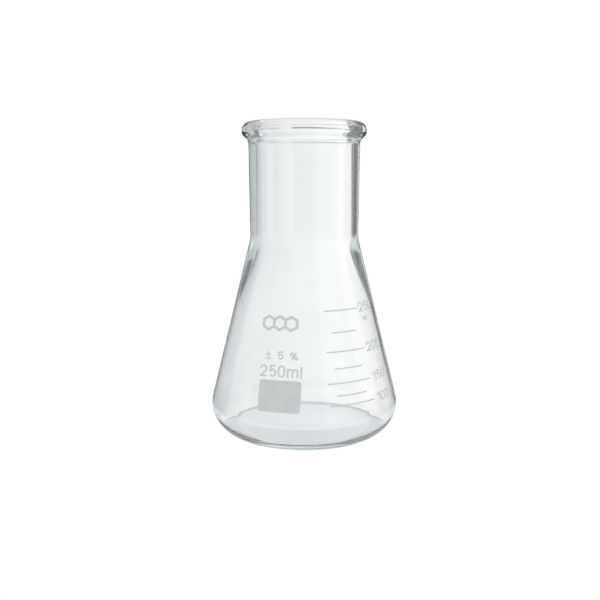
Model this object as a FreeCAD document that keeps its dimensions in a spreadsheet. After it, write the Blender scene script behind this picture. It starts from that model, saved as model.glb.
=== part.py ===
import FreeCAD, Part
import math
import os

import Sketcher
from FreeCAD import Placement, Rotation, Vector

# A 250 ml wide-neck conical flask: one piece of blown glass that carries fired enamel prints.
# Origin at the middle of the base, on the surface the flask stands on. +Z runs up through the mouth.
# The front faces -Y. An azimuth is measured from the front, positive towards +X.

doc = FreeCAD.newDocument("erlenmeyer_flask")

# ---------------------------------------------------------------- driving dimensions (mm, degrees)

DIMENSIONS = [
    # glass, outside
    ("total_height", 140.0),
    ("body_radius", 42.5),
    ("cone_angle", 13.98),
    ("heel_radius", 13.9),
    ("foot_radius", 22.0),
    ("push_up", 1.2),
    ("foot_blend", 12.0),
    ("neck_radius", 24.65),
    ("neck_taper", 0.56),
    ("shoulder_radius", 17.5),
    # glass, inside
    ("base_thickness", 2.4),
    ("low_wall", 0.95),
    ("waist_level", 60.0),
    ("waist_wall", 1.35),
    ("bore_radius", 22.2),
    ("bore_start", 83.0),
    ("inner_heel_radius", 11.0),
    ("inner_shoulder_radius", 30.0),
    # beaded rim
    ("bead_radius", 27.55),
    ("bead_round", 3.9),
    ("bead_side", 5.35),
    ("bead_underside_round", 2.6),
    ("bead_neck_blend", 4.0),
    ("mouth_round", 1.4),
    # enamel prints
    ("enamel_thickness", 0.08),
    ("coat_foot", 18.5),
    ("coat_top", 67.0),
    ("line_thickness", 0.48),
    ("figure_width", 0.74),
    ("scale_azimuth", 30.9),
    ("long_line_angle", 31.9),
    ("short_line_angle", 21.4),
    ("numeral_azimuth", 57.9),
    ("numeral_height", 4.2),
    ("numeral_stroke", 0.54),
    ("numeral_gap", 0.72),
    ("numeral_rise", 0.35),
    ("unit_height", 2.3),
    ("unit_stroke", 0.36),
    ("unit_gap", 0.6),
    ("unit_level", 56.05),
    ("unit_azimuth", 54.3),
    ("label_azimuth", -15.4),
    ("spot_width", 18.4),
    ("spot_height", 13.3),
    ("spot_corner", 1.3),
    ("spot_level", 26.15),
    ("capacity_height", 5.05),
    ("capacity_stroke", 0.74),
    ("capacity_gap", 0.72),
    ("capacity_figure_width", 0.58),
    ("capacity_level", 36.2),
    ("tolerance_height", 3.5),
    ("tolerance_stroke", 0.58),
    ("tolerance_gap", 0.6),
    ("tolerance_level", 42.55),
    ("symbol_azimuth", -18.3),
    ("symbol_radius", 2.85),
    ("symbol_stroke", 1.1),
    ("symbol_level", 55.65),
    # volume lines: height above the bench at which the filled volume is reached
    ("level_250", 60.55),
    ("level_225", 51.6),
    ("level_200", 43.75),
    ("level_175", 36.9),
    ("level_150", 30.95),
    ("level_125", 25.95),
    ("level_100", 22.0),
]

# Closer than this, two points or two circles count as the same.
SAME_PLACE = 0.01

NUMBERED_VOLUMES = (250, 200, 150, 100)
HALFWAY_VOLUMES = (225, 175, 125)

# Worked out in the sheet from the values above.
DERIVED = [
    ("cone_slope", "=tan(cone_angle * 1deg)"),
    ("taper_slope", "=tan(neck_taper * 1deg)"),
    # radius of the outside cone carried down to the bench
    (
        "foot_corner",
        "=body_radius - heel_radius + heel_radius * cos(cone_angle * 1deg)"
        " + heel_radius * (1 + sin(cone_angle * 1deg)) * cone_slope",
    ),
    ("bead_corner", "=total_height - bead_side"),
    ("bead_foot", "=bead_corner - (bead_radius - neck_radius)"),
    (
        "shoulder_height",
        "=(foot_corner - neck_radius + bead_foot * taper_slope) / (cone_slope + taper_slope)",
    ),
    ("shoulder_corner", "=foot_corner - shoulder_height * cone_slope"),
    ("inner_corner", "=foot_corner - base_thickness * cone_slope - low_wall / cos(cone_angle * 1deg)"),
    ("waist_radius", "=foot_corner - waist_level * cone_slope - waist_wall / cos(cone_angle * 1deg)"),
]

sheet = doc.addObject("Spreadsheet::Sheet", "Dimensions")
for row, (name, value) in enumerate(DIMENSIONS + DERIVED, start=1):
    sheet.set(f"A{row}", name)
    sheet.set(f"B{row}", str(value))
    sheet.setAlias(f"B{row}", name)
doc.recompute()


def size(name):
    """A value from the sheet as a plain number."""
    return float(getattr(sheet, name))


# ---------------------------------------------------------------- sketch helpers


def origin_plane(body, role):
    for feature in body.Origin.OriginFeatures:
        if feature.Role == role:
            return feature
    raise LookupError(role)


def new_sketch(body, name):
    """A sketch on the body's XZ plane: its x is the radius and its y the height."""
    sketch = body.newObject("Sketcher::SketchObject", name)
    sketch.AttachmentSupport = [(origin_plane(body, "XZ_Plane"), "")]
    sketch.MapMode = "FlatFace"
    return sketch


def pin_point(sketch, edge, end, label, radius, height):
    """Holds one end of a sketch edge at a radius and height given as expressions."""
    origin = -1
    for kind, axis, value in (("DistanceX", "r", radius), ("DistanceY", "z", height)):
        number = evaluate(value)
        if number == 0:
            on_axis = {"DistanceX": -2, "DistanceY": -1}[kind]
            sketch.addConstraint(Sketcher.Constraint("PointOnObject", edge, end, on_axis))
            continue
        index = sketch.addConstraint(Sketcher.Constraint(kind, origin, 1, edge, end, number))
        sketch.renameConstraint(index, f"{label}_{axis}")
        sketch.setExpression(f"Constraints.{label}_{axis}", value)


def evaluate(expression):
    return float(sheet.evalExpression(expression.replace("Dimensions.", "")))


def closed_outline(sketch, corners, arcs=()):
    """Draws a closed outline through corners, each (label, radius, height) as expressions.
    An edge whose index is in arcs is a shallow arc about the axis, and the others are straight."""
    points = [Vector(evaluate(radius), evaluate(height), 0) for _, radius, height in corners]
    count = len(points)
    start_end = []
    for index in range(count):
        first, second = points[index], points[(index + 1) % count]
        if index in arcs:
            edge, start, end = add_axis_arc(sketch, first, second)
        else:
            edge = sketch.addGeometry(Part.LineSegment(first, second), False)
            start, end = 1, 2
        start_end.append((edge, start, end))
    for index in range(count):
        edge, _, end = start_end[index]
        following, start, _ = start_end[(index + 1) % count]
        sketch.addConstraint(Sketcher.Constraint("Coincident", edge, end, following, start))
    for (edge, start, _), (label, radius, height) in zip(start_end, corners):
        pin_point(sketch, edge, start, label, radius, height)


def add_axis_arc(sketch, first, second):
    """A dome's half section: an arc between two points, one of them on the axis, centred on the axis."""
    top, rim = (first, second) if first.x == 0 else (second, first)
    rise = top.y - rim.y
    radius = (rim.x**2 + rise**2) / (2 * rise)
    centre = Vector(0, top.y - radius, 0)
    circle = Part.Circle(centre, Vector(0, 0, 1), radius)
    rim_angle = math.atan2(rim.y - centre.y, rim.x)
    edge = sketch.addGeometry(Part.ArcOfCircle(circle, rim_angle, math.pi / 2), False)
    sketch.addConstraint(Sketcher.Constraint("PointOnObject", edge, 3, -2))
    return (edge, 2, 1) if top is first else (edge, 1, 2)


def edge_at(shape, radius, height):
    """The name of the circular edge about the axis with this radius and height."""
    for number, edge in enumerate(shape.Edges, start=1):
        if edge.Degenerated or not isinstance(edge.Curve, Part.Circle):
            continue
        curve = edge.Curve
        if abs(curve.Radius - radius) < SAME_PLACE and abs(curve.Center.z - height) < SAME_PLACE:
            return f"Edge{number}"
    raise LookupError((radius, height))


def round_edge(body, name, radius, height, fillet):
    """Rounds the ring-shaped edge at (radius, height) with a fillet bound to the sheet."""
    base = body.Tip
    feature = body.newObject("PartDesign::Fillet", name)
    feature.Base = (base, [edge_at(base.Shape, radius, height)])
    feature.setExpression("Radius", f"Dimensions.{fillet}")
    doc.recompute()
    if feature.Shape.isNull() or "Invalid" in feature.State:
        raise RuntimeError(f"{name}: {feature.State}")
    return feature


# ---------------------------------------------------------------- the glass


def make_glass_vessel():
    """Base with a push-up, heel, cone, shoulder, neck and beaded rim, turned about the axis."""
    body = doc.addObject("PartDesign::Body", "GlassVessel")
    body.Label = "glass_vessel"

    outside = new_sketch(body, "OutsideOutline")
    closed_outline(
        outside,
        [
            ("push_up_top", "0", "Dimensions.push_up"),
            ("foot", "Dimensions.foot_radius", "0"),
            ("heel", "Dimensions.foot_corner", "0"),
            ("shoulder", "Dimensions.shoulder_corner", "Dimensions.shoulder_height"),
            ("bead_foot", "Dimensions.neck_radius", "Dimensions.bead_foot"),
            ("bead_corner", "Dimensions.bead_radius", "Dimensions.bead_corner"),
            ("bead_top", "Dimensions.bead_radius", "Dimensions.total_height"),
            ("axis_top", "0", "Dimensions.total_height"),
        ],
        arcs=(0,),
    )
    solid = body.newObject("PartDesign::Revolution", "OutsideForm")
    solid.Profile = outside
    solid.ReferenceAxis = (outside, ["V_Axis"])
    solid.Angle = 360.0

    inside = new_sketch(body, "InsideOutline")
    floor_top = "Dimensions.push_up + Dimensions.base_thickness"
    closed_outline(
        inside,
        [
            ("floor_top", "0", floor_top),
            ("floor", "Dimensions.foot_radius", "Dimensions.base_thickness"),
            ("inner_heel", "Dimensions.inner_corner", "Dimensions.base_thickness"),
            ("waist", "Dimensions.waist_radius", "Dimensions.waist_level"),
            ("bore_foot", "Dimensions.bore_radius", "Dimensions.bore_start"),
            ("mouth", "Dimensions.bore_radius", "Dimensions.total_height"),
            ("mouth_axis", "0", "Dimensions.total_height"),
        ],
        arcs=(0,),
    )
    hollow = body.newObject("PartDesign::Groove", "Hollow")
    hollow.Profile = inside
    hollow.ReferenceAxis = (inside, ["V_Axis"])
    hollow.Angle = 360.0
    doc.recompute()

    round_edge(body, "Heel", size("foot_corner"), 0, "heel_radius")
    round_edge(body, "InnerHeel", size("inner_corner"), size("base_thickness"), "inner_heel_radius")
    round_edge(body, "Shoulder", size("shoulder_corner"), size("shoulder_height"), "shoulder_radius")
    round_edge(body, "InnerShoulder", size("bore_radius"), size("bore_start"), "inner_shoulder_radius")
    round_edge(body, "BeadTop", size("bead_radius"), size("total_height"), "bead_round")
    round_edge(body, "BeadUnderside", size("bead_radius"), size("bead_corner"), "bead_underside_round")
    round_edge(body, "BeadNeck", size("neck_radius"), size("bead_foot"), "bead_neck_blend")
    round_edge(body, "Mouth", size("bore_radius"), size("total_height"), "mouth_round")
    round_edge(body, "FootEdge", size("foot_radius"), 0, "foot_blend")
    round_edge(body, "FloorEdge", size("foot_radius"), size("base_thickness"), "foot_blend")
    return body


# ---------------------------------------------------------------- the enamel prints

ENAMEL = "Dimensions.enamel_thickness / cos(Dimensions.cone_angle * 1deg)"


def on_cone(level):
    """The outside cone's radius at a height, as an expression."""
    return f"Dimensions.foot_corner - ({level}) * Dimensions.cone_slope"


def enamel_band(name, low, high):
    """A body with the sketch of a thin band of enamel lying on the cone between two heights."""
    body = doc.addObject("PartDesign::Body", name)
    sketch = new_sketch(body, name + "Section")
    closed_outline(
        sketch,
        [
            ("low_in", on_cone(low), low),
            ("low_out", f"{on_cone(low)} + {ENAMEL}", low),
            ("high_out", f"{on_cone(high)} + {ENAMEL}", high),
            ("high_in", on_cone(high), high),
        ],
    )
    turned = body.newObject("PartDesign::Revolution", name + "Turned")
    turned.Profile = sketch
    turned.ReferenceAxis = (sketch, ["V_Axis"])
    return body, turned


def turn_to(part, azimuth):
    """Turns a print about the flask's axis to its azimuth, an expression in degrees."""
    about_the_axis = Rotation(Vector(0, 0, 1), evaluate(azimuth))
    part.Placement = Placement(Vector(0, 0, 0), about_the_axis)
    part.setExpression("Placement.Rotation.Angle", f"({azimuth}) * 1deg")


def make_line(volume, sweep):
    """One volume line: a narrow band of enamel over part of the way round."""
    level = f"Dimensions.level_{volume}"
    half = "Dimensions.line_thickness / 2"
    body, turned = enamel_band(f"GraduationLine{volume}", f"{level} - {half}", f"{level} + {half}")
    body.Label = f"graduation_line_{volume}"
    turned.setExpression("Angle", f"{sweep} * 1deg")
    turned.Midplane = True
    # the section stands on +X, which is a quarter turn on from the front
    turn_to(body, "Dimensions.scale_azimuth - 90")
    return body


# Letters are strokes of constant width in a cell that is 1 high. A stroke is a path of points joined
# by straight runs, in which an arc (centre, radius, start, end in degrees) can stand for a point.
# Where two strokes of one letter meet, the end of one lies a little off the middle of the other.


def arc(x, y, radius, start, end):
    return ("arc", x, y, radius, start, end)


def letter_shapes(figure):
    """Every letter as (width, strokes). figure is the width of a figure between its strokes' middles."""
    bowl = figure / 2
    belly = min(figure * 0.44, 0.31)
    shoulder = 0.24
    return {
        "0": (figure, [[(0, bowl), arc(bowl, 1 - bowl, bowl, 180, 0), arc(bowl, bowl, bowl, 0, -180)]]),
        "1": (0.36, [[(0, 0.72), (0.36, 1), (0.36, 0)]]),
        "2": (figure, [[arc(bowl, 1 - bowl, bowl, 165, -38), (0, 0), (figure, 0)]]),
        "5": (
            figure,
            [
                [
                    (figure * 0.92, 1),
                    (figure * 0.19, 1),
                    (figure * 0.07, 0.5),
                    arc(figure - belly, 0.65 - belly, belly, 140, 0),
                    arc(figure - belly, belly, belly, 0, -150),
                ]
            ],
        ),
        "m": (
            4 * shoulder,
            [
                [(0, 0), (0, 0.73)],
                [arc(shoulder, 0.49, shoulder, 160, 0), (2 * shoulder, 0)],
                [arc(3 * shoulder, 0.49, shoulder, 160, 0), (4 * shoulder, 0)],
            ],
        ),
        "l": (0.0, [[(0, 0), (0, 1)]]),
        "±": (0.7, [[(0, 0.62), (0.7, 0.62)], [(0.35, 0.26), (0.35, 0.98)], [(0, 0), (0.7, 0)]]),
        "%": (
            1.04,
            [[arc(0.2, 0.76, 0.2, 0, 360)], [arc(0.84, 0.24, 0.2, 0, 360)], [(0.24, 0), (0.8, 1)]],
        ),
        " ": (0.3, []),
    }


# How deep a stamp is, and how far it reaches into the glass from the surface it prints on.
STAMP_DEPTH = 6.0
STAMP_REACH = 4.5
UP = Vector(0, 0, 1)


def on_circle(centre, radius, degrees):
    turn = math.radians(degrees)
    return centre + Vector(math.cos(turn), math.sin(turn), 0) * radius


def path_edges(path, place):
    """The edges along a stroke's middle. place turns cell coordinates into a point."""
    edges = []
    last = None
    for item in path:
        if item[0] == "arc":
            _, x, y, radius, start, end = item
            middle = (start + end) / 2
            centre = Vector(x, y, 0)
            ends = [place(on_circle(centre, radius, angle)) for angle in (start, middle, end)]
        else:
            ends = [place(Vector(*item, 0))]
        if last is not None and (ends[0] - last).Length > SAME_PLACE:
            edges.append(Part.makeLine(last, ends[0]))
        if len(ends) == 3:
            edges.append(Part.Arc(*ends).toShape())
        last = ends[-1]
    return edges


def straight_stroke(first, second, width):
    """A flat bar of this width between two points, with round ends."""
    along = (second - first).normalize()
    aside = Vector(-along.y, along.x, 0) * (width / 2)
    cap = along * (width / 2)
    outline = [
        Part.makeLine(first + aside, second + aside),
        Part.Arc(second + aside, second + cap, second - aside).toShape(),
        Part.makeLine(second - aside, first - aside),
        Part.Arc(first - aside, first - cap, first + aside).toShape(),
    ]
    return Part.Face(Part.Wire(outline))


def ring_stroke(path, place, width):
    """A flat ring of this width along a full circle."""
    _, x, y, radius, _, _ = path[0]
    centre = place(Vector(x, y, 0))
    middle = (place(Vector(x + radius, y, 0)) - centre).Length
    discs = [Part.Face(Part.Wire([Part.makeCircle(middle + side * width / 2, centre)])) for side in (1, -1)]
    return discs[0].cut(discs[1])


def stroke_solid(path, place, width):
    """One stroke as an upright wall of this width along its path, with round ends."""
    if path[0][0] == "arc" and path[0][5] - path[0][4] == 360:
        return ring_stroke(path, place, width).extrude(UP * STAMP_DEPTH)
    edges = path_edges(path, place)
    if len(edges) == 1 and len(path) == 2:
        ends = [vertex.Point for vertex in edges[0].Vertexes]
        return straight_stroke(ends[0], ends[1], width).extrude(UP * STAMP_DEPTH)
    middle = Part.Wire(edges)
    if middle.isClosed():
        outer, inner = (Part.Face(middle.makeOffset2D(side * width / 2)) for side in (1, -1))
        return outer.cut(inner).extrude(UP * STAMP_DEPTH)
    outline = middle.makeOffset2D(width / 2)
    return Part.makeFace(outline.Wires, "Part::FaceMakerBullseye").extrude(UP * STAMP_DEPTH)


def text_stamp(text, style, figure):
    """Letters side by side as upright solids, centred on the origin. The sheet holds the style's
    height, its stroke and its gap, the clear space between two letters. figure is how wide a figure
    is for its height."""
    stroke = size(f"{style}_stroke")
    gap = size(f"{style}_gap")
    scale = size(f"{style}_height") - stroke
    shapes = letter_shapes(figure)
    widths = [shapes[letter][0] * scale + stroke for letter in text]
    left = -(sum(widths) + gap * (len(text) - 1)) / 2
    letters = []
    for letter, letter_width in zip(text, widths):
        base = Vector(left + stroke / 2, -scale / 2, 0)
        strokes = [
            stroke_solid(path, lambda point: base + point * scale, stroke)
            for path in shapes[letter][1]
        ]
        if strokes:
            letters.append(strokes[0].multiFuse(strokes[1:]) if len(strokes) > 1 else strokes[0])
        left += letter_width + gap
    return Part.makeCompound(letters)


def hexagon_prism(radius, x):
    """An upright hexagon with a corner at the top, centred at x."""
    corners = [on_circle(Vector(x, 0, 0), radius, 30 + 60 * side) for side in range(7)]
    return Part.Face(Part.makePolygon(corners)).extrude(UP * STAMP_DEPTH)


def hexagon_stamp(radius, width):
    """Three hexagon rings in a row that share their upright sides."""
    lean = math.cos(math.radians(30))
    centres = [side * 2 * radius * lean for side in (-1, 0, 1)]
    plates = [hexagon_prism(radius + width / 2 / lean, x) for x in centres]
    windows = [hexagon_prism(radius - width / 2 / lean, x) for x in centres]
    return plates[0].multiFuse(plates[1:]).cut(windows).removeSplitter()


def rounded_stamp(width, height, corner):
    """A rectangle with round corners, centred on the origin."""
    block = Part.makeBox(width, height, STAMP_DEPTH, Vector(-width / 2, -height / 2, 0))
    upright = [edge for edge in block.Edges if edge.BoundBox.ZLength > STAMP_DEPTH / 2]
    return block.makeFillet(corner, upright)


def make_print(name, label, solid, level, azimuth, coat):
    """A print: the part of the enamel coat that a stamp covers, pressed on at right angles to the
    glass. level is the height of the stamp's middle."""
    stamp = doc.addObject("Part::Feature", name + "Stamp")
    stamp.Shape = solid
    tilt = size("cone_angle")
    radius = size("foot_corner") - level * size("cone_slope")
    outward = Vector(0, -math.cos(math.radians(tilt)), math.sin(math.radians(tilt)))
    foot = Vector(0, -radius, level) - outward * STAMP_REACH
    stamp.Placement = Placement(foot, Rotation(Vector(1, 0, 0), 90 - tilt))

    mark = doc.addObject("Part::Common", name)
    mark.Base = coat
    mark.Tool = stamp
    mark.Label = label
    turn_to(mark, azimuth)
    return mark


def make_prints(coat):
    """All lettering, the marking spot and the maker's symbol."""
    spot = rounded_stamp(size("spot_width"), size("spot_height"), size("spot_corner"))
    capacity = text_stamp("250ml", "capacity", size("capacity_figure_width"))
    tolerance = text_stamp("± 5 %", "tolerance", size("figure_width"))
    symbol = hexagon_stamp(size("symbol_radius"), size("symbol_stroke"))
    unit = text_stamp("ml", "unit", size("figure_width"))
    marks = [
        ("MarkingSpot", "marking_spot", spot, "spot_level", "label_azimuth"),
        ("CapacityMark", "capacity_mark", capacity, "capacity_level", "label_azimuth"),
        ("ToleranceMark", "tolerance_mark", tolerance, "tolerance_level", "label_azimuth"),
        ("MakerSymbol", "maker_symbol", symbol, "symbol_level", "symbol_azimuth"),
        ("UnitMark", "unit_mark", unit, "unit_level", "unit_azimuth"),
    ]
    prints = [
        make_print(name, label, stamp, size(level), f"Dimensions.{azimuth}", coat)
        for name, label, stamp, level, azimuth in marks
    ]
    azimuth = "Dimensions.numeral_azimuth"
    for volume in NUMBERED_VOLUMES:
        number = text_stamp(str(volume), "numeral", size("figure_width"))
        level = size(f"level_{volume}") + size("numeral_rise")
        numeral = make_print(f"Numeral{volume}", f"numeral_{volume}", number, level, azimuth, coat)
        prints.append(numeral)
    return prints


# ---------------------------------------------------------------- build, check and write

vessel = make_glass_vessel()

coat_body, coat_turned = enamel_band("EnamelCoat", "Dimensions.coat_foot", "Dimensions.coat_top")
coat_turned.Angle = 360.0
doc.recompute()

lines = []
for volume in NUMBERED_VOLUMES:
    lines.append(make_line(volume, "Dimensions.long_line_angle"))
for volume in HALFWAY_VOLUMES:
    lines.append(make_line(volume, "Dimensions.short_line_angle"))

subparts = [vessel, *make_prints(coat_body), *lines]
doc.recompute()

for item in doc.Objects:
    if "Invalid" in item.State or "Error" in item.State:
        raise RuntimeError(f"{item.Name} failed: {item.State}")

for part in subparts:
    if part.Shape.isNull() or not part.Shape.isValid() or not part.Shape.Solids:
        raise RuntimeError(f"{part.Label} has no valid solid")

os.makedirs("parts", exist_ok=True)
for part in subparts:
    part.Shape.exportStep(f"parts/{part.Label}.step")
    box = part.Shape.BoundBox
    print(
        f"{part.Label:22s} solids {len(part.Shape.Solids):2d}  volume {part.Shape.Volume:10.3f} mm3"
        f"  x {box.XMin:7.2f}..{box.XMax:6.2f}  y {box.YMin:7.2f}..{box.YMax:6.2f}"
        f"  z {box.ZMin:7.2f}..{box.ZMax:6.2f}"
    )
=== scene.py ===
import math

import bpy
from mathutils import Matrix, Vector


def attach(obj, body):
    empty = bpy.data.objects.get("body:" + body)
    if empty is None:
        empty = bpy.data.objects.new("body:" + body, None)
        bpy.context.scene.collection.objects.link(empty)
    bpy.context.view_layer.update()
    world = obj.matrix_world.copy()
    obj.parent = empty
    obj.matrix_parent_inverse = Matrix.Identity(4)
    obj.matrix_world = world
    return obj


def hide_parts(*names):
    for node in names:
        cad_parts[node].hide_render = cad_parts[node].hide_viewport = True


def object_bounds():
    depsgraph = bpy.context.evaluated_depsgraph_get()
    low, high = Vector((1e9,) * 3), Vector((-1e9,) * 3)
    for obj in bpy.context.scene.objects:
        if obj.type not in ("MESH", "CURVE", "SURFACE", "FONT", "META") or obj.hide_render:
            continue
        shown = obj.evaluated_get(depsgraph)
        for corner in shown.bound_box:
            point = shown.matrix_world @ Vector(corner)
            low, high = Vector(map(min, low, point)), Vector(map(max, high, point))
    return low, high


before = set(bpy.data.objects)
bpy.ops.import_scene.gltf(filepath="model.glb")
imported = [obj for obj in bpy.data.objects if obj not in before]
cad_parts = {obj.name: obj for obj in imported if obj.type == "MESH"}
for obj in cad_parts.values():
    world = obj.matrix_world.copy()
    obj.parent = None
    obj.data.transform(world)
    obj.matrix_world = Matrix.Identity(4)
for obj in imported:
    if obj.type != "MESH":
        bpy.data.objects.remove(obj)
cad_low, cad_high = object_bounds()

# ---------------------------------------------------------------- sizes, in metres and radians

MM = 0.001

# The glass, outside. Its height comes from the frame.
HEIGHT = cad_high.z
BODY_RADIUS = 42.5 * MM
CONE_ANGLE = math.radians(13.98)
HEEL_RADIUS = 13.9 * MM
FOOT_RADIUS = 22.0 * MM
PUSH_UP = 1.2 * MM
NECK_RADIUS = 24.65 * MM
NECK_TAPER = math.radians(0.56)
SHOULDER_RADIUS = 17.5 * MM

# The glass, inside.
BASE_THICKNESS = 2.4 * MM
LOW_WALL = 0.95 * MM
WAIST_LEVEL = 60.0 * MM
WAIST_WALL = 1.35 * MM
WAIST_BLEND = 150.0 * MM
BORE_RADIUS = 22.2 * MM
BORE_START = 83.0 * MM
INNER_HEEL_RADIUS = 11.0 * MM
INNER_SHOULDER_RADIUS = 30.0 * MM

# The beaded rim.
BEAD_RADIUS = 27.55 * MM
BEAD_ROUND = 3.9 * MM
BEAD_SIDE = 5.35 * MM
BEAD_UNDERSIDE_ROUND = 2.6 * MM
BEAD_NECK_BLEND = 4.0 * MM
MOUTH_ROUND = 1.4 * MM

# How finely the glass is turned.
TURNS = 288
ARC_STEP = math.radians(4)
MAX_SPAN = 2.5 * MM
DOME_STEPS = 12
SAME_POINT = 1e-7


# ---------------------------------------------------------------- outline


def rounded(corners):
    """Points along an outline of (radius, height, fillet) corners, with each corner rounded."""
    path = []
    last_corner = len(corners) - 1
    for index, (x, y, fillet) in enumerate(corners):
        here = Vector((x, y))
        if fillet == 0 or index in (0, last_corner):
            path.append(here)
            continue
        before = (Vector(corners[index - 1][:2]) - here).normalized()
        after = (Vector(corners[index + 1][:2]) - here).normalized()
        half = before.angle(after) / 2
        reach = fillet / math.tan(half)
        centre = here + (before + after).normalized() * (fillet / math.sin(half))
        first = here + before * reach - centre
        last = here + after * reach - centre
        sweep = -first.angle_signed(last)
        steps = max(3, math.ceil(abs(sweep) / ARC_STEP))
        for step in range(steps + 1):
            path.append(centre + Matrix.Rotation(sweep * step / steps, 2) @ first)
    return path


def dome(rise, level):
    """A shallow dome from the axis out to the standing ring, which it meets without a crease."""
    corners = []
    for step in range(DOME_STEPS + 1):
        share = step / DOME_STEPS
        height = level + rise * (1 + math.cos(math.pi * share)) / 2
        corners.append((FOOT_RADIUS * share, height, 0))
    return corners


def glass_outline():
    """The half section of the glass, from the middle of the underside round to the middle of the floor."""
    slope = math.tan(CONE_ANGLE)
    taper = math.tan(NECK_TAPER)
    foot = BODY_RADIUS - HEEL_RADIUS + HEEL_RADIUS * math.cos(CONE_ANGLE)
    foot += HEEL_RADIUS * (1 + math.sin(CONE_ANGLE)) * slope
    bead_corner = HEIGHT - BEAD_SIDE
    bead_foot = bead_corner - (BEAD_RADIUS - NECK_RADIUS)
    shoulder = (foot - NECK_RADIUS + bead_foot * taper) / (slope + taper)

    def inside_cone(level, wall):
        return foot - level * slope - wall / math.cos(CONE_ANGLE)

    corners = dome(PUSH_UP, 0)
    corners += [
        (foot, 0, HEEL_RADIUS),
        (foot - shoulder * slope, shoulder, SHOULDER_RADIUS),
        (NECK_RADIUS, bead_foot, BEAD_NECK_BLEND),
        (BEAD_RADIUS, bead_corner, BEAD_UNDERSIDE_ROUND),
        (BEAD_RADIUS, HEIGHT, BEAD_ROUND),
        (BORE_RADIUS, HEIGHT, MOUTH_ROUND),
        (BORE_RADIUS, BORE_START, INNER_SHOULDER_RADIUS),
        (inside_cone(WAIST_LEVEL, WAIST_WALL), WAIST_LEVEL, WAIST_BLEND),
        (inside_cone(BASE_THICKNESS, LOW_WALL), BASE_THICKNESS, INNER_HEEL_RADIUS),
    ]
    corners += reversed(dome(PUSH_UP, BASE_THICKNESS))
    return rounded(corners)


def subdivided(path):
    """The same outline with no span longer than MAX_SPAN."""
    points = [path[0]]
    for point in path[1:]:
        start = points[-1]
        gap = (point - start).length
        if gap < SAME_POINT:
            continue
        pieces = math.ceil(gap / MAX_SPAN)
        for piece in range(1, pieces + 1):
            points.append(start.lerp(point, piece / pieces))
    return points


def lathe(name, points):
    """A closed body turned about the axis. The first and the last point lie on the axis."""
    vertices = []
    for point in points[1:-1]:
        for turn in range(TURNS):
            angle = 2 * math.pi * turn / TURNS
            vertices.append((point.x * math.cos(angle), point.x * math.sin(angle), point.y))
    underside, floor = len(vertices), len(vertices) + 1
    vertices += [(0, 0, points[0].y), (0, 0, points[-1].y)]
    faces = []
    rings = len(points) - 2
    last = (rings - 1) * TURNS
    for turn in range(TURNS):
        after = (turn + 1) % TURNS
        faces.append((underside, after, turn))
        faces.append((floor, last + turn, last + after))
        for start in range(0, last, TURNS):
            faces.append((start + turn, start + after, start + TURNS + after, start + TURNS + turn))
    mesh = bpy.data.meshes.new(name)
    mesh.from_pydata(vertices, [], faces)
    mesh.polygons.foreach_set("use_smooth", [True] * len(mesh.polygons))
    body = bpy.data.objects.new(name, mesh)
    bpy.context.scene.collection.objects.link(body)
    return body


# ---------------------------------------------------------------- node helpers


def sum_of(tree, operation, *values):
    """A math node on numbers or sockets. Gives its result socket."""
    node = tree.nodes.new("ShaderNodeMath")
    node.operation = operation
    for socket, value in zip(node.inputs, values):
        if isinstance(value, (int, float)):
            socket.default_value = value
        else:
            tree.links.new(value, socket)
    return node.outputs[0]


def ramp(tree, value, low, high, at_low, at_high, smooth=True):
    """Carries value from low..high to at_low..at_high, and holds it beyond either end."""
    node = tree.nodes.new("ShaderNodeMapRange")
    node.interpolation_type = "SMOOTHSTEP" if smooth else "LINEAR"
    given = {"Value": value, "From Min": low, "From Max": high, "To Min": at_low, "To Max": at_high}
    for name, item in given.items():
        if isinstance(item, (int, float)):
            node.inputs[name].default_value = item
        else:
            tree.links.new(item, node.inputs[name])
    return node.outputs["Result"]


def mix(tree, first, second, share):
    """The first colour where share is 0, the second where it is 1."""
    node = tree.nodes.new("ShaderNodeMix")
    node.data_type = "RGBA"
    tree.links.new(share, node.inputs["Factor"])
    # a Mix node's first six inputs are for numbers and vectors, and its first two outputs too
    for socket, value in ((node.inputs[6], first), (node.inputs[7], second)):
        if isinstance(value, tuple):
            socket.default_value = (*value, 1)
        else:
            tree.links.new(value, socket)
    return node.outputs[2]


def length_of(tree, x, y):
    """The distance of the point (x, y) from the origin."""
    return sum_of(tree, "SQRT", sum_of(tree, "MULTIPLY_ADD", x, x, sum_of(tree, "MULTIPLY", y, y)))


def streaked(tree, place, per_metre, low, high):
    """Soft noise from low to high. per_metre says how many features there are along x, y and z."""
    stretch = tree.nodes.new("ShaderNodeMapping")
    stretch.inputs["Scale"].default_value = per_metre
    noise = tree.nodes.new("ShaderNodeTexNoise")
    noise.inputs["Scale"].default_value = 1.0
    noise.inputs["Detail"].default_value = 2.0
    tree.links.new(place, stretch.inputs["Vector"])
    tree.links.new(stretch.outputs["Vector"], noise.inputs["Vector"])
    return ramp(tree, noise.outputs["Fac"], 0.3, 0.7, low, high)


# ---------------------------------------------------------------- materials

GLASS_IOR = 1.474
GLASS_TINT = (0.50, 0.66, 0.64)
GLASS_TINT_PER_METRE = 5.0
# drawn glass: waves that run up the flask, this many to the metre along x, y and z
WAVES = (70, 70, 8)
WAVE_DEPTH = 0.08 * MM

ENAMEL_DARK = (0.585, 0.625, 0.627)
ENAMEL_LIGHT = (0.62, 0.66, 0.665)
ENAMEL_ROUGHNESS = (0.55, 0.7)
CLOUDS = (220, 220, 220)
SHEEN_PATCHES = (900, 900, 900)
GRAINS = (3000, 3000, 3000)
GRAIN_DEPTH = 0.02 * MM
BUMP_STRENGTH = 0.3


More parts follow.
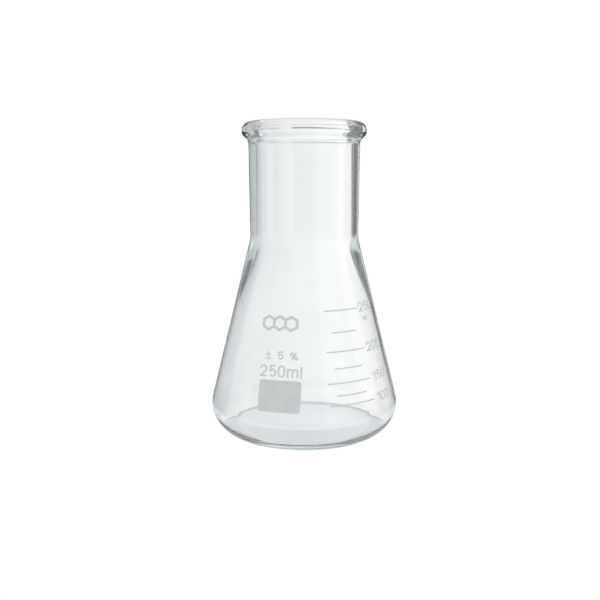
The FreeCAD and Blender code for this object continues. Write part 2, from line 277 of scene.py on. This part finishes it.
def new_material(name):
    """An empty node material, its node tree and its output node."""
    material = bpy.data.materials.new(name)
    material.use_nodes = True
    tree = material.node_tree
    tree.nodes.clear()
    output = tree.nodes.new("ShaderNodeOutputMaterial")
    return material, tree, output


def bump(tree, height, depth):
    """A normal for a surface with this much relief, where height runs from 0 to 1."""
    node = tree.nodes.new("ShaderNodeBump")
    node.inputs["Strength"].default_value = BUMP_STRENGTH
    node.inputs["Distance"].default_value = depth
    tree.links.new(height, node.inputs["Height"])
    return node.outputs["Normal"]


def glass_material():
    """Clear borosilicate glass with a faint tint in its thick edges."""
    material, tree, output = new_material("clear_glass")
    shader = tree.nodes.new("ShaderNodeBsdfPrincipled")
    shader.inputs["Base Color"].default_value = (1, 1, 1, 1)
    shader.inputs["Roughness"].default_value = 0.0
    shader.inputs["IOR"].default_value = GLASS_IOR
    shader.inputs["Transmission Weight"].default_value = 1.0
    place = tree.nodes.new("ShaderNodeTexCoord").outputs["Object"]
    waves = streaked(tree, place, WAVES, 0, 1)
    tree.links.new(bump(tree, waves, WAVE_DEPTH), shader.inputs["Normal"])
    absorb = tree.nodes.new("ShaderNodeVolumeAbsorption")
    absorb.inputs["Color"].default_value = (*GLASS_TINT, 1)
    absorb.inputs["Density"].default_value = GLASS_TINT_PER_METRE
    tree.links.new(shader.outputs["BSDF"], output.inputs["Surface"])
    tree.links.new(absorb.outputs["Volume"], output.inputs["Volume"])
    return material


def enamel_material():
    """Matt fired print: a faint cloudiness and a fine grain."""
    material, tree, output = new_material("fired_enamel")
    shader = tree.nodes.new("ShaderNodeBsdfPrincipled")
    place = tree.nodes.new("ShaderNodeTexCoord").outputs["Object"]
    clouds = streaked(tree, place, CLOUDS, 0, 1)
    tree.links.new(mix(tree, ENAMEL_DARK, ENAMEL_LIGHT, clouds), shader.inputs["Base Color"])
    patches = streaked(tree, place, SHEEN_PATCHES, *ENAMEL_ROUGHNESS)
    tree.links.new(patches, shader.inputs["Roughness"])
    grains = streaked(tree, place, GRAINS, 0, 1)
    tree.links.new(bump(tree, grains, GRAIN_DEPTH), shader.inputs["Normal"])
    tree.links.new(shader.outputs["BSDF"], output.inputs["Surface"])
    return material


# ---------------------------------------------------------------- studio

COOL = (0.90, 0.965, 1.0)
WARM = (1.0, 1.0, 0.985)
NEUTRAL = (1.0, 1.0, 1.0)


def light(colour, strength):
    return tuple(part * strength for part in colour)


# The studio that the glass refracts: upright panels of light on a darker wall. Azimuths run from +Y
# towards +X. Each panel is (azimuth of its middle, half its width, elevation of its top, all in
# degrees, then the colour at its left edge and the colour at its right edge).
PANELS = (
    (0, 19, 80, light(COOL, 0.74), light(WARM, 1.2)),
    (-40, 17, 7, light(COOL, 0.6), light(COOL, 0.68)),
    (-90, 19, 80, light(COOL, 0.8), light(WARM, 1.1)),
    (135, 19, 80, light(COOL, 0.8), light(WARM, 1.1)),
    (90, 12, 80, light(NEUTRAL, 0.9), light(NEUTRAL, 0.9)),
)
PANEL_SOFTNESS = 2

WALL_LIGHT = light(COOL, 0.24)
WALL_FOOT_LIGHT = light(COOL, 0.7)
OVERHEAD_LIGHT = light(NEUTRAL, 0.75)
UNDER_LIGHT = light(NEUTRAL, 0.92)
DIFFUSE_LIGHT = light(NEUTRAL, 0.95)

# What the outside of the glass mirrors, which is plainer than what shows through it.
REFLECTED_BEHIND = light(COOL, 0.03)
REFLECTED_FRONT = light(NEUTRAL, 0.5)
REFLECTED_BENCH = light(COOL, 0.8)

# Where one light turns into the next: elevations in degrees, and for the last the direction's y.
WALL_FOOT_TO_WALL = (-15, -4)
SIDES_TO_OVERHEAD = (18, 40)
SIDES_TO_UNDER = (-19, -27)
MIRRORED_SIDES_TO_BENCH = (-13, -18)
MIRRORED_BEHIND_TO_FRONT = (0.6, -0.9)

# The bench under the flask: shaded nearly as far out as the flask reaches, apart from an oval pool of
# the light that comes through the glass from behind, and darkest along the edge of the shade behind.
BENCH_SHADE = light(COOL, 0.69)
BENCH_POOL = light(COOL, 0.88)
BENCH_EDGE = light(COOL, 0.55)
SHADE_RADIUS = 39.0 * MM
POOL_MIDDLE = 13.0 * MM
POOL_ACROSS = 33.0 * MM
POOL_ALONG = 20.0 * MM
POOL_EDGE = (1.04, 0.94)
POOL_STREAKS = (14, 90, 1)
FAINTEST_STREAK = 0.7
EDGE_WIDTH = 3 * MM
EDGE_FADE = 15 * MM

# The bench patch and the floor lie a little under the flask, so that neither touches the glass.
BENCH_DROP = 0.2 * MM
FLOOR_DROP = 0.3 * MM
FLOOR_REACH = 20.0

LENS = 46.38
SENSOR = 36.0
FRAMING_SHIFT = -4.25 / 600
CAMERA_DISTANCE = 348.9 * MM
CAMERA_HEIGHT = 115.87 * MM
CAMERA_PITCH = 0.1572
MAX_BOUNCES = 32
GLOSSY_BOUNCES = 24


def make_world():
    """Light from all round. The camera itself sees plain white."""
    world = bpy.data.worlds.new("studio")
    bpy.context.scene.world = world
    world.use_nodes = True
    tree = world.node_tree
    direction = tree.nodes.new("ShaderNodeTexCoord").outputs["Generated"]
    split = tree.nodes.new("ShaderNodeSeparateXYZ")
    tree.links.new(direction, split.inputs[0])
    x, y, z = split.outputs
    elevation = sum_of(tree, "DEGREES", sum_of(tree, "ARCSINE", z))
    azimuth = sum_of(tree, "DEGREES", sum_of(tree, "ARCTAN2", x, y))

    seen = mix(tree, WALL_FOOT_LIGHT, WALL_LIGHT, ramp(tree, elevation, *WALL_FOOT_TO_WALL, 0, 1))
    for middle, half, top, at_left, at_right in PANELS:
        aside = sum_of(tree, "WRAP", sum_of(tree, "SUBTRACT", azimuth, middle), 180, -180)
        off = sum_of(tree, "ABSOLUTE", aside)
        across = ramp(tree, off, half + PANEL_SOFTNESS, half - PANEL_SOFTNESS, 0, 1)
        below_top = ramp(tree, elevation, top + PANEL_SOFTNESS, top - PANEL_SOFTNESS, 0, 1)
        shade = mix(tree, at_left, at_right, ramp(tree, aside, -half, half, 0, 1, smooth=False))
        seen = mix(tree, seen, shade, sum_of(tree, "MULTIPLY", across, below_top))
    seen = mix(tree, seen, OVERHEAD_LIGHT, ramp(tree, elevation, *SIDES_TO_OVERHEAD, 0, 1))
    seen = mix(tree, seen, UNDER_LIGHT, ramp(tree, elevation, *SIDES_TO_UNDER, 0, 1))

    in_front = ramp(tree, y, *MIRRORED_BEHIND_TO_FRONT, 0, 1)
    downward = ramp(tree, elevation, *MIRRORED_SIDES_TO_BENCH, 0, 1)
    reflected = mix(tree, REFLECTED_BEHIND, REFLECTED_FRONT, in_front)
    reflected = mix(tree, reflected, REFLECTED_BENCH, downward)
    path = tree.nodes.new("ShaderNodeLightPath").outputs
    seen = mix(tree, seen, reflected, path["Is Reflection Ray"])
    seen = mix(tree, seen, DIFFUSE_LIGHT, path["Is Diffuse Ray"])
    seen = mix(tree, seen, NEUTRAL, path["Is Camera Ray"])
    tree.links.new(seen, tree.nodes["Background"].inputs["Color"])


def glowing_sheet(name, material_name, corners, drop, colour_of):
    """A flat sheet of light just under the flask. colour_of(tree) gives its colour, or None for white."""
    mesh = bpy.data.meshes.new(name)
    mesh.from_pydata(corners, [], [tuple(range(len(corners)))])
    sheet = bpy.data.objects.new(name, mesh)
    sheet.location.z = -drop
    sheet.visible_glossy = False
    sheet.visible_diffuse = False
    bpy.context.scene.collection.objects.link(sheet)
    material, tree, output = new_material(material_name)
    glow = tree.nodes.new("ShaderNodeEmission")
    colour = colour_of(tree)
    if colour is not None:
        tree.links.new(colour, glow.inputs["Color"])
    tree.links.new(glow.outputs["Emission"], output.inputs["Surface"])
    mesh.materials.append(material)
    return sheet


def bench_colour(tree):
    place = tree.nodes.new("ShaderNodeTexCoord").outputs["Object"]
    split = tree.nodes.new("ShaderNodeSeparateXYZ")
    tree.links.new(place, split.inputs[0])
    x, y, _ = split.outputs
    across = sum_of(tree, "DIVIDE", x, POOL_ACROSS)
    along = sum_of(tree, "DIVIDE", sum_of(tree, "SUBTRACT", y, POOL_MIDDLE), POOL_ALONG)
    pool = ramp(tree, length_of(tree, across, along), *POOL_EDGE, 0, 1)
    streaks = streaked(tree, place, POOL_STREAKS, FAINTEST_STREAK, 1.0)
    shade = mix(tree, BENCH_SHADE, BENCH_POOL, sum_of(tree, "MULTIPLY", pool, streaks))
    edge = ramp(tree, length_of(tree, x, y), SHADE_RADIUS - EDGE_WIDTH, SHADE_RADIUS, 0, 1)
    behind = ramp(tree, y, 0, EDGE_FADE, 0, 1)
    return mix(tree, shade, BENCH_EDGE, sum_of(tree, "MULTIPLY", edge, behind))


def make_shaded_bench():
    """The bench right under the flask, which only the glass shows."""
    corners = []
    for turn in range(TURNS):
        angle = 2 * math.pi * turn / TURNS
        corners.append((SHADE_RADIUS * math.cos(angle), SHADE_RADIUS * math.sin(angle), 0))
    bench = glowing_sheet("shaded_bench", "bench_shade", corners, BENCH_DROP, bench_colour)
    bench.visible_camera = False


def make_floor():
    """The plain white floor, which only the camera sees."""
    reach = FLOOR_REACH
    corners = [(-reach, -reach, 0), (reach, -reach, 0), (reach, reach, 0), (-reach, reach, 0)]
    floor = glowing_sheet("floor", "floor_white", corners, FLOOR_DROP, lambda tree: None)
    floor.visible_transmission = False


def make_camera():
    data = bpy.data.cameras.new("camera")
    data.sensor_width = SENSOR
    data.lens = LENS
    data.shift_x = FRAMING_SHIFT
    camera = bpy.data.objects.new("camera", data)
    camera.location = (0, -CAMERA_DISTANCE, CAMERA_HEIGHT)
    camera.rotation_euler = (math.pi / 2 - CAMERA_PITCH, 0, 0)
    bpy.context.scene.collection.objects.link(camera)
    bpy.context.scene.camera = camera


def set_up_film():
    scene = bpy.context.scene
    scene.view_settings.view_transform = "Standard"
    scene.cycles.max_bounces = MAX_BOUNCES
    scene.cycles.glossy_bounces = GLOSSY_BOUNCES
    scene.cycles.transmission_bounces = MAX_BOUNCES


# ---------------------------------------------------------------- the model

glass = lathe("flask_glass", subdivided(glass_outline()))
glass.data.materials.append(glass_material())
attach(glass, "root")
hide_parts("glass_vessel")

enamel = enamel_material()
for name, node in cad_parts.items():
    if name != "glass_vessel":
        node.material_slots[0].material = enamel

make_world()
make_floor()
make_shaded_bench()
make_camera()
set_up_film()
